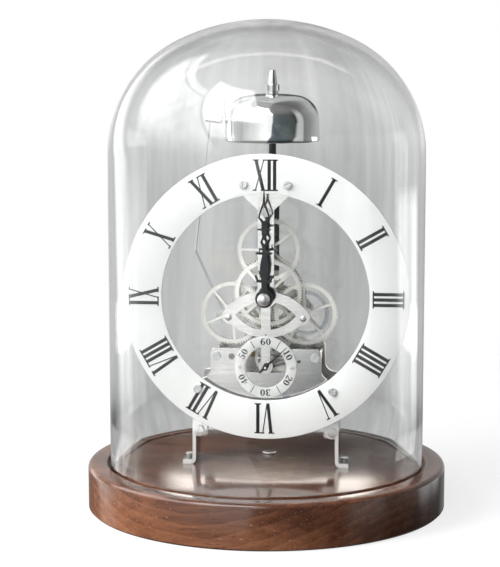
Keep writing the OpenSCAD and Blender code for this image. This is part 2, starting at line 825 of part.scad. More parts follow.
module balance_wheel() {
  color("#d6b25e") at_clock() {
    rod(pA, 0.45, yb + 0.5, yr + 0.3);
    rod(pA, 0.9, yr + 0.3, yr + 8.2);
    rod(pA, 0.45, yr + 8.2, yr + 10.2);
    rod(pA, 3.1, yr + 3.9, yr + 4.5);
    rod(pA - 2.6 * line_d, 0.4, yr + 2.9, yr + 3.9);
    slab(yr + 4.9, yr + 6.4) {
      difference() {
        dot(pA, 10.5);
        dot(pA, 8.9);
      }
      dot(pA, 2);
      for (k = [0 : 2]) bar(pA, pA + 9.2 * [cos(30 + 120 * k), sin(30 + 120 * k)], 1.4);
    }
  }
}
stud_a = 60;
pin = pA + 6.7 * [cos(stud_a), sin(stud_a)];
echo(hairspring_turn_gap = turn_gap(1.7, 6.7, 5, 120, 0.2));
module hairspring() {
  color("#5d6f9a") at_clock() slab(yr + 7.1, yr + 7.9) spiral(pA, 1.7, 6.7, 5, 120, 0.2, stud_a);
}
module balance_cock() {
  color("#cfccc8") at_clock() difference() {
    union() {
      slab(yr + 8.5, yr + 10.5) {
        bar(cock_foot, pA, 5);
        dot(pA, 4.2);
        dot(cock_foot, 3);
        bar(pA, pin, 2.4);
        dot(pin, 1.2);
      }
      rod(cock_foot, 3, yr, yr + 8.5);
      rod(pin, 0.55, yr + 7, yr + 8.5);
      rod(pA, 2, yr + 10.5, yr + 11.9);
    }
    rod(cock_foot, 1.1, yr - 1, yr + 11);
    rod(pA, 0.5, yr + 8, yr + 10.4);
  }
}
module bridge_screws() {
  color("#c3c4c6") at_clock() {
    screw_back(bridge_foot, 2, 1.2, 1, yr + 7.2, 8.2, 40);
    screw_back(cock_foot, 2, 1.2, 1, yr + 11.7, 12.7, 100);
  }
}
module regulator() {
  color("#c8c9cb") at_clock() slab(yr + 10.6, yr + 11.4) difference() {
    union() {
      dot(pA, 3.3);
      bar(pA, pA + 9.5 * [cos(20), sin(20)], 1.3);
    }
    dot(pA, 2.07);
  }
}

base_plinth();
felt_pad();
base_stud();
glass_dome();
left_leg();
right_leg();
leg_screws();
foot_screws();
front_plate();
back_plate();
pillars();
pillar_screws();
chapter_ring();
ring_standoffs();
ring_screws();
seconds_ring();
seconds_rivets();
bell();
bell_post();
bell_nut();
post_screws();
hammer();
hammer_head();
hammer_stud();
minute_hand();
hour_hand();
seconds_hand();
hand_nut();
centre_arbor();
cannon_pinion();
centre_wheel();
setting_knob();
hour_wheel();
hour_pipe();
minute_wheel();
minute_arbor();
strike_wheel();
strike_arbor();
intermediate_wheel();
intermediate_arbor();
drive_wheel();
drive_arbor();
mainspring_barrel();
barrel_cover();
mainspring();
barrel_arbor();
ratchet_wheel();
click();
click_stud();
third_wheel();
fourth_wheel();
escape_wheel();
pallet_lever();
escape_bridge();
balance_wheel();
hairspring();
balance_cock();
bridge_screws();
regulator();
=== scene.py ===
import json
import math

import bmesh
import bpy
from mathutils import Matrix, Vector

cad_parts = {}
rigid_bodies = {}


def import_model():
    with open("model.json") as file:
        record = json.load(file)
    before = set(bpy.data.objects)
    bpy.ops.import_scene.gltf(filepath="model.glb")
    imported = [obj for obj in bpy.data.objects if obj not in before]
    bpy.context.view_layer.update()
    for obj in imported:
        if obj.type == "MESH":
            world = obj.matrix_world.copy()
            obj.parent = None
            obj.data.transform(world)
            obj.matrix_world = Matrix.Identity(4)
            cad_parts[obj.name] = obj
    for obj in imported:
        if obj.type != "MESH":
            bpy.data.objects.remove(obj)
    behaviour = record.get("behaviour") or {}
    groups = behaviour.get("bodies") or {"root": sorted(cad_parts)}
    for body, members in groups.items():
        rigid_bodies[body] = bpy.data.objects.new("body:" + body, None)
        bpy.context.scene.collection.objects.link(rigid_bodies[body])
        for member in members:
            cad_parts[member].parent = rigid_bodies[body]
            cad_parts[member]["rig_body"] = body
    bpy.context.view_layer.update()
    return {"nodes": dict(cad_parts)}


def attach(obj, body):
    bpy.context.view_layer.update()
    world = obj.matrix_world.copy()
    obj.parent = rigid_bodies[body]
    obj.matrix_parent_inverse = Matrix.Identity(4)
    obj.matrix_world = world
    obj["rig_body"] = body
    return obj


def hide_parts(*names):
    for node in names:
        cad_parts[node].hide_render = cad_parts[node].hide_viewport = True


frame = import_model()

mm = 0.001
radians = math.radians
scene = bpy.context.scene
scene.view_settings.view_transform = "Standard"

# the clock's own places, in millimetres: hands' centre, seconds centre, bell axis
handsAt = Vector((0.0, -4.5, 119.0))
secondsAt = Vector((0.0, -4.5, 79.5))
bellAt = Vector((0.0, 31.2, 203.0))

shot = {"distance": 1.1, "height": 0.29, "azimuth": 6.0, "pan": 0.48, "tilt": 8.5,  # metres and degrees
        "lens": 126.98, "sensor": 36.0, "nearest": 0.05}


def addObject(name, data):
    thing = bpy.data.objects.new(name, data)
    scene.collection.objects.link(thing)
    return thing


def placeCamera():
    data = bpy.data.cameras.new("shotCamera")
    data.sensor_fit = "VERTICAL"
    data.sensor_height = shot["sensor"]
    data.lens = shot["lens"]
    data.clip_start = shot["nearest"]
    camera = addObject("shotCamera", data)
    around = radians(shot["azimuth"])
    away = shot["distance"]
    camera.location = (away * math.sin(around), -away * math.cos(around), shot["height"])
    camera.rotation_euler = (radians(90 - shot["tilt"]), 0, radians(shot["azimuth"] + shot["pan"]))
    scene.camera = camera


placeCamera()
print("camera placed")


# material building blocks

def startMaterial(name):
    mat = bpy.data.materials.new(name)
    mat.use_nodes = True
    tree = mat.node_tree
    coords = tree.nodes.new("ShaderNodeTexCoord").outputs["Object"]
    return mat, tree, tree.nodes["Principled BSDF"], coords


def setSockets(node, values):
    for name, value in values.items():
        node.inputs[name].default_value = value


def stretched(tree, coords, scale, turn=(0, 0, 0), shift=(0, 0, 0)):
    mapping = tree.nodes.new("ShaderNodeMapping")
    setSockets(mapping, {"Scale": scale, "Rotation": [radians(a) for a in turn], "Location": shift})
    tree.links.new(coords, mapping.inputs["Vector"])
    return mapping.outputs["Vector"]


def noiseOn(tree, vector, scale, detail=3.0, rough=0.5, distort=0.0):
    noise = tree.nodes.new("ShaderNodeTexNoise")
    setSockets(noise, {"Scale": scale, "Detail": detail, "Roughness": rough, "Distortion": distort})
    tree.links.new(vector, noise.inputs["Vector"])
    return noise.outputs["Fac"]


def rampOn(tree, value, stops):
    ramp = tree.nodes.new("ShaderNodeValToRGB")
    points = ramp.color_ramp.elements
    while len(points) < len(stops):
        points.new(0.5)
    for point, (at, colour) in zip(points, stops):
        point.position = at
        point.color = (*colour, 1.0)
    tree.links.new(value, ramp.inputs["Fac"])
    return ramp.outputs["Color"]


def spread(tree, value, low, high, start=0.3, end=0.7, kind="LINEAR"):  # low at start, high at end
    span = tree.nodes.new("ShaderNodeMapRange")
    span.interpolation_type = kind
    setSockets(span, {"From Min": start, "From Max": end, "To Min": low, "To Max": high})
    tree.links.new(value, span.inputs["Value"])
    return span.outputs["Result"]


def maths(tree, kind, first, second):
    step = tree.nodes.new("ShaderNodeMath")
    step.operation = kind
    for socket, value in zip(step.inputs, (first, second)):
        if isinstance(value, (int, float)):
            socket.default_value = value
        else:
            tree.links.new(value, socket)
    return step.outputs["Value"]


def weighed(tree, *parts):  # adds values up by their shares
    total = None
    for value, share in parts:
        part = maths(tree, "MULTIPLY", value, share)
        total = part if total is None else maths(tree, "ADD", total, part)
    return total


def blendColours(tree, amount, first, second, kind="MIX"):
    mix = tree.nodes.new("ShaderNodeMix")
    mix.data_type = "RGBA"
    mix.blend_type = kind
    for socket, value in ((mix.inputs[0], amount), (mix.inputs[6], first), (mix.inputs[7], second)):
        if isinstance(value, (int, float)):
            socket.default_value = value
        elif isinstance(value, tuple):
            socket.default_value = (*value, 1.0)
        else:
            tree.links.new(value, socket)
    return mix.outputs[2]


def times(tree, first, second):
    return blendColours(tree, 1.0, first, second, "MULTIPLY")


def mixShaders(tree, amount, first, second):
    mix = tree.nodes.new("ShaderNodeMixShader")
    for socket, value in zip(mix.inputs, (amount, first, second)):
        tree.links.new(value, socket)
    return mix.outputs["Shader"]


def splitAxes(tree, vector):
    axes = tree.nodes.new("ShaderNodeSeparateXYZ")
    tree.links.new(vector, axes.inputs[0])
    return axes.outputs


def bumpFrom(tree, shader, height, strength, depth):
    bump = tree.nodes.new("ShaderNodeBump")
    setSockets(bump, {"Strength": strength, "Distance": depth})
    tree.links.new(height, bump.inputs["Height"])
    tree.links.new(bump.outputs["Normal"], shader.inputs["Normal"])


walnutLook = {
    "cut": {"turn": (0, 5, 14), "shift": (0, 0.034, 0.075)},  # how the board lay in the log
    "growth": {"Scale": 62.0, "Distortion": 3.2, "Detail": 3.0, "Detail Scale": 0.6},  # rings of the log
    "fibre": (7, 230, 230), "cloud": (9, 26, 26), "pores": (70, 1300, 1300), "flecks": (300, 1300, 1300),
    "growthShare": 0.08, "fibreShare": 0.32, "cloudShare": 0.50,
    "colours": [(0.20, (0.030, 0.010, 0.006)), (0.42, (0.100, 0.036, 0.018)),
                (0.60, (0.240, 0.098, 0.050)), (0.82, (0.400, 0.190, 0.108))],
    # painted light and shade: the wood is paler low down at the lamp-lit front left and darker on the top and the
    # right
    "paintedLightAxis": (-1.3, -0.6, -6.0), "paler": (-0.01, 0.13, -0.08, 0.05),  # paler low down at the front left
    "poreColour": (0.022, 0.009, 0.006), "poreSpan": (0.0, 0.55, 0.60, 0.70),
    "fleckColour": (0.48, 0.31, 0.21), "fleckSpan": (0.0, 0.7, 0.72, 0.78), "fleckShift": (3, 5, 7),
    "gloss": (0.46, 0.30), "relief": (0.22, 0.00012),
    "lacquer": {"Coat Weight": 1.0, "Coat Roughness": 0.13, "Coat IOR": 1.6,
                "Specular IOR Level": 0.0},  # the lacquer alone carries the shine
}


def walnutFinish():
    w = walnutLook
    mat, tree, shader, coords = startMaterial("satinWalnut")
    board = stretched(tree, coords, (1, 1, 1), **w["cut"])
    growth = tree.nodes.new("ShaderNodeTexWave")
    growth.wave_type = "RINGS"
    growth.rings_direction = "X"
    growth.wave_profile = "SAW"
    setSockets(growth, w["growth"])
    tree.links.new(board, growth.inputs["Vector"])
    fibre = noiseOn(tree, stretched(tree, board, w["fibre"]), 1.0, 6.0, 0.62)
    cloud = noiseOn(tree, stretched(tree, board, w["cloud"]), 1.0, 3.0, 0.5, 0.4)
    tone = weighed(tree, (growth.outputs["Fac"], w["growthShare"]), (fibre, w["fibreShare"]),
                   (cloud, w["cloudShare"]))
    # painted light and shade: the tone rises towards the lit front left and falls on the top and the right
    across = tree.nodes.new("ShaderNodeVectorMath")
    across.operation = "DOT_PRODUCT"
    across.inputs[1].default_value = w["paintedLightAxis"]
    tree.links.new(coords, across.inputs[0])
    tone = maths(tree, "ADD", tone, spread(tree, across.outputs["Value"], *w["paler"]))
    colour = rampOn(tree, tone, w["colours"])
    pores = noiseOn(tree, stretched(tree, board, w["pores"]), 1.0, 2.0)
    pores = spread(tree, pores, *w["poreSpan"])
    colour = blendColours(tree, pores, colour, w["poreColour"])
    flecks = noiseOn(tree, stretched(tree, board, w["flecks"], shift=w["fleckShift"]), 1.0, 1.0)
    colour = blendColours(tree, spread(tree, flecks, *w["fleckSpan"]), colour, w["fleckColour"])
    tree.links.new(colour, shader.inputs["Base Color"])
    tree.links.new(spread(tree, fibre, *w["gloss"]), shader.inputs["Roughness"])
    setSockets(shader, w["lacquer"])
    bumpFrom(tree, shader, maths(tree, "SUBTRACT", fibre, pores), *w["relief"])
    return mat


glassLook = {"glass": {"Base Color": (0.905, 0.915, 0.912, 1.0), "Transmission Weight": 1.0, "IOR": 1.46},
             "shadow": (0.88, 0.89, 0.89, 1.0), "smear": (22, 22, 9), "haze": (0.0, 0.006, 0.52, 0.75),
             "ripple": (34, 34, 3.0), "relief": (0.07, 0.0010)}


def glassFinish():
    g = glassLook
    mat, tree, shader, coords = startMaterial("blownGlass")
    setSockets(shader, g["glass"])
    smear = noiseOn(tree, stretched(tree, coords, g["smear"]), 1.0, 4.0, 0.6)
    tree.links.new(spread(tree, smear, *g["haze"]), shader.inputs["Roughness"])
    ripple = noiseOn(tree, stretched(tree, coords, g["ripple"]), 1.0, 1.0, 0.4)
    bumpFrom(tree, shader, ripple, *g["relief"])
    path = tree.nodes.new("ShaderNodeLightPath").outputs
    clear = tree.nodes.new("ShaderNodeBsdfTransparent")  # lets light through the glass
    clear.inputs["Color"].default_value = g["shadow"]
    both = mixShaders(tree, path["Is Shadow Ray"], shader.outputs["BSDF"], clear.outputs["BSDF"])
    tree.links.new(both, tree.nodes["Material Output"].inputs["Surface"])
    return mat


# sides holds a painted shade colour for faces turned away from the front
metalLooks = {  # tones from dull to bright, gloss range, brush direction and strength
    "platedNickel": {"tones": ((0.70, 0.685, 0.665), (0.82, 0.81, 0.795)), "gloss": (0.07, 0.15),
                     "brush": (25, 600, 600), "depth": 0.05, "sides": (0.34, 0.335, 0.33)},
    "legNickel": {"tones": ((0.84, 0.83, 0.82), (0.94, 0.935, 0.925)), "gloss": (0.08, 0.18),
                  "brush": (300, 300, 25), "depth": 0.04, "metal": 0.60, "sides": (0.16, 0.16, 0.16)},
    "brightChrome": {"tones": ((0.82, 0.825, 0.83), (0.90, 0.90, 0.90)), "gloss": (0.03, 0.09),
                     "brush": (60, 60, 300), "depth": 0.015},
    "wheelNickel": {"tones": ((0.83, 0.81, 0.76), (0.95, 0.935, 0.89)), "gloss": (0.24, 0.36),
                    "brush": (500, 120, 500), "depth": 0.05, "metal": 0.12, "sides": (0.30, 0.29, 0.27)},
    # painted shade: the train between the plates takes darker tones than the front wheels, as though in shade
    "shadedTrainNickel": {"tones": ((0.52, 0.505, 0.47), (0.84, 0.82, 0.77)), "gloss": (0.18, 0.30),
                    "brush": (500, 120, 500), "depth": 0.05, "metal": 0.55, "sides": (0.14, 0.135, 0.125)},
    "satinSteel": {"tones": ((0.74, 0.74, 0.735), (0.90, 0.90, 0.89)), "gloss": (0.22, 0.34),
                   "brush": (300, 300, 60), "depth": 0.04, "metal": 0.75},
    # painted shade: the back plate's upper arm is coloured near-black where it lies in shade
    "backSteel": {"tones": ((0.66, 0.66, 0.65), (0.84, 0.84, 0.83)), "gloss": (0.22, 0.34),
                  "brush": (300, 300, 60), "depth": 0.04, "metal": 0.75, "paintedShadeAbove": 0.129},
    "bareBrass": {"tones": ((0.56, 0.36, 0.13), (0.76, 0.55, 0.24)), "gloss": (0.16, 0.32),
                  "brush": (400, 90, 400), "depth": 0.04},
    "turnedSteel": {"tones": ((0.44, 0.445, 0.46), (0.66, 0.665, 0.68)), "gloss": (0.16, 0.32),
                    "brush": (300, 900, 300), "depth": 0.05},
    "gunmetal": {"tones": ((0.035, 0.032, 0.030), (0.11, 0.10, 0.095)), "gloss": (0.22, 0.45),
                 "brush": (700, 700, 200), "depth": 0.08},
    "springSteel": {"tones": ((0.16, 0.20, 0.30), (0.34, 0.39, 0.50)), "gloss": (0.18, 0.30),
                    "brush": (300, 900, 300), "depth": 0.03},
}


metalGrain = {"hairlines": 0.4, "tarnish": 0.6, "tarnishScale": 55.0, "dull": 0.30, "bright": 0.62,
              "flank": (1.0, 0.0, 0.55, 0.95), "blackDull": 0.40, "blackBright": 0.66, "blackEdge": 0.001,
              "relief": 0.0001}


def metalFinish(name):
    look, g = metalLooks[name], metalGrain
    mat, tree, shader, coords = startMaterial(name)
    shader.inputs["Metallic"].default_value = look.get("metal", 1.0)
    hairlines = noiseOn(tree, stretched(tree, coords, look["brush"]), 1.0, 4.0, 0.65)
    tarnish = noiseOn(tree, coords, g["tarnishScale"], 5.0, 0.6)
    patches = weighed(tree, (hairlines, g["hairlines"]), (tarnish, g["tarnish"]))
    colour = rampOn(tree, patches, list(zip((g["dull"], g["bright"]), look["tones"])))
    if "sides" in look:  # painted shade: faces turned sideways, the flanks and edges, are darkened as though shaded and mirroring a dark room
        facing = splitAxes(tree, tree.nodes["Texture Coordinate"].outputs["Normal"])
        flat = maths(tree, "ABSOLUTE", facing["Y"], 0.0)
        colour = blendColours(tree, spread(tree, flat, *g["flank"]), colour, look["sides"])
    if "paintedShadeAbove" in look:  # painted shade: the back plate's upper arm, in shade behind the front plate, is coloured near-black
        edge = look["paintedShadeAbove"]
        above = spread(tree, splitAxes(tree, coords)["Z"], 0.0, 1.0, edge, edge + g["blackEdge"])
        dark = rampOn(tree, patches, list(zip((g["blackDull"], g["blackBright"]), metalLooks["gunmetal"]["tones"])))
        colour = blendColours(tree, above, colour, dark)
    tree.links.new(colour, shader.inputs["Base Color"])
    tree.links.new(spread(tree, patches, *reversed(look["gloss"])), shader.inputs["Roughness"])
    bumpFrom(tree, shader, hairlines, look["depth"], g["relief"])
    return mat


paintLooks = {  # tones, gloss range and how fine the grain is
    "dialSilver": {"tones": ((0.80, 0.80, 0.795), (0.88, 0.88, 0.875)),
                   "gloss": (0.28, 0.40), "grain": 900.0},
    "smallDialSilver": {"tones": ((0.64, 0.64, 0.63), (0.73, 0.73, 0.72)),
                        "gloss": (0.28, 0.40), "grain": 900.0},
    "blackLacquer": {"tones": ((0.008, 0.008, 0.009), (0.020, 0.020, 0.021)),
                     "gloss": (0.26, 0.42), "grain": 600.0},
    "printInk": {"tones": ((0.010, 0.010, 0.011), (0.024, 0.023, 0.023)),
                 "gloss": (0.42, 0.60), "grain": 1400.0},
}
paintGrain = {"grain": 0.45, "drift": 0.55, "driftScale": 28.0, "dull": 0.34, "bright": 0.62,
              "relief": (0.06, 0.00004)}


def paintFinish(name):
    look, g = paintLooks[name], paintGrain
    mat, tree, shader, coords = startMaterial(name)
    grain = noiseOn(tree, coords, look["grain"], 3.0, 0.6)
    drift = noiseOn(tree, coords, g["driftScale"], 3.0, 0.5)
    patches = weighed(tree, (grain, g["grain"]), (drift, g["drift"]))
    colour = rampOn(tree, patches, list(zip((g["dull"], g["bright"]), look["tones"])))
    tree.links.new(colour, shader.inputs["Base Color"])
    tree.links.new(spread(tree, patches, *look["gloss"]), shader.inputs["Roughness"])
    bumpFrom(tree, shader, grain, *g["relief"])
    return mat


feltLook = {"colours": [(0.32, (0.012, 0.020, 0.014)), (0.66, (0.040, 0.060, 0.044))],
            "fuzz": 0.6, "matted": 0.4, "fuzzScale": 1600.0, "mattedScale": 130.0,
            "gloss": (0.86, 0.98), "sheen": 0.35, "relief": (0.5, 0.0003)}


def feltFinish():
    f = feltLook
    mat, tree, shader, coords = startMaterial("darkFelt")
    fuzz = noiseOn(tree, coords, f["fuzzScale"], 5.0, 0.7)
    matted = noiseOn(tree, coords, f["mattedScale"], 4.0, 0.6)
    tone = weighed(tree, (fuzz, f["fuzz"]), (matted, f["matted"]))
    tree.links.new(rampOn(tree, tone, f["colours"]), shader.inputs["Base Color"])
    tree.links.new(spread(tree, tone, *f["gloss"]), shader.inputs["Roughness"])
    shader.inputs["Sheen Weight"].default_value = f["sheen"]
    bumpFrom(tree, shader, fuzz, *f["relief"])
    return mat


finishes = {name: metalFinish(name) for name in metalLooks}
finishes.update({name: paintFinish(name) for name in paintLooks})
finishes.update({"walnut": walnutFinish(), "glass": glassFinish(), "felt": feltFinish()})
print("finishes mixed:", len(finishes))


# modelling helpers

def chain(bm, points):
    verts = [bm.verts.new(p) for p in points]
    for a, b in zip(verts, verts[1:]):
        bm.edges.new((a, b))
    return verts


def arcOn(bm, vert, centre, degrees, steps):  # swings a chain's end upwards round a centre in the xz plane
    made = bmesh.ops.spin(bm, geom=[vert], cent=centre, axis=(0, -1, 0), angle=radians(degrees), steps=steps)
    return made["geom_last"][0]


def turnOnLathe(bm, steps):
    bmesh.ops.spin(bm, geom=bm.verts[:] + bm.edges[:], cent=(0, 0, 0), axis=(0, 0, 1),
                   angle=2 * math.pi, steps=steps, use_merge=True)
    bmesh.ops.remove_doubles(bm, verts=bm.verts, dist=0.0005)
    bmesh.ops.recalc_face_normals(bm, faces=bm.faces)


def lathe(profile, steps):  # turns radius and height pairs into a round piece
    bm = bmesh.new()
    chain(bm, [(r, 0, z) for r, z in profile])
    turnOnLathe(bm, steps)
    return bm


def ringEdges(bm, radius, height, slack=0.01):
    def onRing(v):
        return abs(math.hypot(v.co.x, v.co.y) - radius) < slack and abs(v.co.z - height) < slack
    return [e for e in bm.edges if onRing(e.verts[0]) and onRing(e.verts[1])]


def soften(bm, edges, width, segments):
    bmesh.ops.bevel(bm, geom=edges, offset=width, offset_type="OFFSET", affect="EDGES",
                    segments=segments, profile=0.5, material=-1, clamp_overlap=True)


def faceForward(bm):  # a lathe's axis, z, becomes the clock's forward axis, -y
    bmesh.ops.rotate(bm, verts=bm.verts, cent=(0, 0, 0), matrix=Matrix.Rotation(radians(90), 3, "X"))


def turnShell(shape, heights):  # a round wall with a shoulder and a crown, and then its thickness
    bm = bmesh.new()
    wall = chain(bm, [(shape["radius"], 0, z) for z in heights])
    top = arcOn(bm, wall[-1], (shape["shoulderX"], 0, shape["shoulderZ"]), shape["shoulderTurn"],
                shape["shoulderSteps"])
    top = arcOn(bm, top, (0, 0, shape["crownZ"]), shape["crownTurn"], shape["crownSteps"])
    top.co.x = 0.0  # the crown closes on the axis
    turnOnLathe(bm, shape["steps"])
    bmesh.ops.solidify(bm, geom=bm.faces[:], thickness=shape["wall"])
    for radius in (shape["radius"], shape["radius"] - shape["wall"]):
        soften(bm, ringEdges(bm, radius, heights[0], 0.05), shape["rim"], shape["rimSteps"])
    return bm


def meshObject(name, bm):
    mesh = bpy.data.meshes.new(name)
    bm.to_mesh(mesh)
    bm.free()
    return addObject(name, mesh)


def joinInto(whole, bm):
    part = bpy.data.meshes.new("part")
    bm.to_mesh(part)
    bm.free()
    whole.from_mesh(part)
    bpy.data.meshes.remove(part)


def finishPiece(name, bm, body, finish, replaced=(), sharp=32.0, place=Vector()):
    bmesh.ops.translate(bm, verts=bm.verts, vec=place)
    bmesh.ops.scale(bm, verts=bm.verts, vec=(mm, mm, mm))
    piece = meshObject(name, bm)
    piece.data.shade_smooth()
    piece.data.set_sharp_from_angle(angle=radians(sharp))
    piece.data.materials.append(finishes[finish])
    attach(piece, body)
    if replaced:
        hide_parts(*replaced)
    return piece


# wooden base and felt

baseShape = {"radius": 100.0, "height": 25.5, "edge": 2.4, "edgeSteps": 7, "steps": 224,
             "recess": 90.9, "recessTop": 2.0, "foot": 0.5, "footIn": 99.0, "footTop": 1.5, "middle": 40.0,
             "grooveOut": 89.1, "grooveIn": 83.3, "grooveFloor": 20.5, "lip": 0.7, "lipSteps": 4}


def turnBase():
    b = baseShape
    outer, top = b["radius"], b["height"]
    bm = lathe([(0, b["recessTop"]), (b["recess"], b["recessTop"]), (b["recess"], b["foot"]),
                (b["footIn"], b["foot"]), (outer, b["footTop"]), (outer, top),
                (b["grooveOut"], top), (b["grooveOut"], b["grooveFloor"]),
                (b["grooveIn"], b["grooveFloor"]), (b["grooveIn"], top), (b["middle"], top), (0, top)], b["steps"])
    soften(bm, ringEdges(bm, outer, top), b["edge"], b["edgeSteps"])
    for radius in (b["grooveOut"], b["grooveIn"]):
        soften(bm, ringEdges(bm, radius, top), b["lip"], b["lipSteps"])
    finishPiece("walnutBase", bm, "case", "walnut", ["base_plinth"])


feltShape = {"radius": 90.8, "thick": 2.0, "edge": 0.5, "edgeSteps": 3, "steps": 128}


def cutFelt():
    f = feltShape
    bm = lathe([(0, 0), (f["radius"], 0), (f["radius"], f["thick"]), (0, f["thick"])], f["steps"])
    soften(bm, ringEdges(bm, f["radius"], 0), f["edge"], f["edgeSteps"])
    finishPiece("feltPad", bm, "case", "felt", ["felt_pad"])


turnBase()
cutFelt()
print("base turned")


# glass dome

domeShape = {"radius": 87.5, "wall": 3.0, "foot": 20.5, "rows": 6, "steps": 192,
             "shoulderX": 18.1, "shoulderZ": 197.956, "shoulderTurn": 64.21, "shoulderSteps": 30,
             "crownZ": 160.5, "crownTurn": 25.79, "crownSteps": 16, "rim": 1.2, "rimSteps": 5}


def blowDome():
    d = domeShape
    rise = d["shoulderZ"] - d["foot"]
    bm = turnShell(d, [d["foot"] + rise * k / d["rows"] for k in range(d["rows"] + 1)])
    finishPiece("glassDome", bm, "dome", "glass", ["glass_dome"], sharp=60.0)


blowDome()
print("dome blown")


# bell, its nut and the hand nut

bellShape = {"radius": 27.0, "wall": 1.3, "lipTop": 4, "steps": 144,
             "shoulderX": 12.0, "shoulderZ": 11.0, "shoulderTurn": 80.47, "shoulderSteps": 24,
             "crownZ": -60.5, "crownTurn": 9.53, "crownSteps": 8, "rim": 0.55, "rimSteps": 4}


def spinBell():
    bm = turnShell(bellShape, [0, bellShape["lipTop"], bellShape["shoulderZ"]])
    finishPiece("strikeBell", bm, "case", "brightChrome", ["bell"], sharp=50.0, place=bellAt)


nutShape = {"profile": [(0, 0), (3.6, 0), (3.6, 0.7), (2.9, 1.1), (3.95, 1.4), (3.95, 4.8), (2.95, 5.1),
                        (1.75, 12.9), (1.2, 13.5), (0, 13.5)],
            "tip": [(1.2, 13.5), (1.75, 12.9)], "tipEdge": 0.25, "tipSteps": 3,
            "grip": 3.95, "ridges": 30, "knurl": 0.28, "rise": 27.0}


def turnBellNut():
    n = nutShape
    columns = n["ridges"] * 4  # two columns for a ridge and two for a flute
    bm = lathe(n["profile"], columns)
    for v in bm.verts:  # cut the grip's flutes
        radius = math.hypot(v.co.x, v.co.y)
        column = round(math.atan2(v.co.y, v.co.x) / (2 * math.pi) * columns) % 4
        if abs(radius - n["grip"]) < 0.01 and column >= 2:
            v.co.xy *= 1 - n["knurl"] / radius
    tip = [edge for r, z in n["tip"] for edge in ringEdges(bm, r, z)]
    soften(bm, tip, n["tipEdge"], n["tipSteps"])
    finishPiece("bellNut", bm, "case", "brightChrome", ["bell_nut"], sharp=24.0,
                place=bellAt + Vector((0, 0, n["rise"])))


handNutShape = {"bore": 1.36, "collar": 2.6, "ball": 3.6, "ballZ": 1.6, "ballSteps": 24, "cut": 0.4,
                "steps": 72, "forward": -14.5}


def turnHandNut():
    n = handNutShape
    bm = bmesh.new()
    start = math.degrees(math.asin((n["cut"] - n["ballZ"]) / n["ball"]))
    edge = n["ball"] * math.cos(radians(start))
    verts = chain(bm, [(n["bore"], 0, 0), (n["collar"], 0, 0), (n["collar"], 0, n["cut"]), (edge, 0, n["cut"])])
    top = arcOn(bm, verts[-1], (0, 0, n["ballZ"]), 90 - start, n["ballSteps"])
    top.co.x = 0.0
    turnOnLathe(bm, n["steps"])
    faceForward(bm)
    finishPiece("handNut", bm, "minute", "satinSteel", ["hand_nut"],
                place=Vector((0, n["forward"], handsAt.z)))


spinBell()
turnBellNut()
turnHandNut()
print("bell and nuts turned")


# chapter ring with its numerals

ringShape = {"inner": 57.75, "outer": 79.5, "back": 3.0, "front": 4.5, "edge": 0.22, "steps": 256}
secondsShape = {"inner": 11.8, "outer": 17.3, "back": 0.0, "front": 1.0, "edge": 0.15, "steps": 128}


def turnRing(name, node, centre, shape, finish):
    bm = bmesh.new()
    corners = [(shape["inner"], shape["back"]), (shape["outer"], shape["back"]),
               (shape["outer"], shape["front"]), (shape["inner"], shape["front"])]
    verts = chain(bm, [(r, 0, z) for r, z in corners])
    bm.edges.new((verts[-1], verts[0]))
    turnOnLathe(bm, shape["steps"])
    for r, z in corners:
        soften(bm, ringEdges(bm, r, z), shape["edge"], 3)
    faceForward(bm)
    finishPiece(name, bm, "case", finish, [node], place=centre)


turnRing("chapterRing", "chapter_ring", handsAt, ringShape, "dialSilver")
turnRing("secondsRing", "seconds_ring", secondsAt, secondsShape, "smallDialSilver")

numeralStyle = {"foot": 59.3, "tall": 17.2, "thick": 1.85, "thin": 0.62, "gap": 1.15, "serif": 0.75,
                "overhang": 0.95, "print": 0.06, "tuck": 0.6, "wideTuck": 0.7, "tie": 0.3,
                "vMeet": 0.25, "vInset": 0.35, "vTaper": 0.9, "xInset": 0.2, "xThinInset": 0.5}
numerals = {1: "I", 2: "II", 3: "III", 4: "IIII", 5: "V", 6: "VI",
            7: "VII", 8: "VIII", 9: "IX", 10: "X", 11: "XI", 12: "XII"}
letterWidth = {"I": 1.85, "V": 6.6, "X": 6.4}


def inkStroke(bm, foot, head, low, high, footWidth, headWidth):
    corners = [(foot - footWidth / 2, low, 0), (foot + footWidth / 2, low, 0),
               (head + headWidth / 2, high, 0), (head - headWidth / 2, high, 0)]
    bm.faces.new([bm.verts.new(corner) for corner in corners])


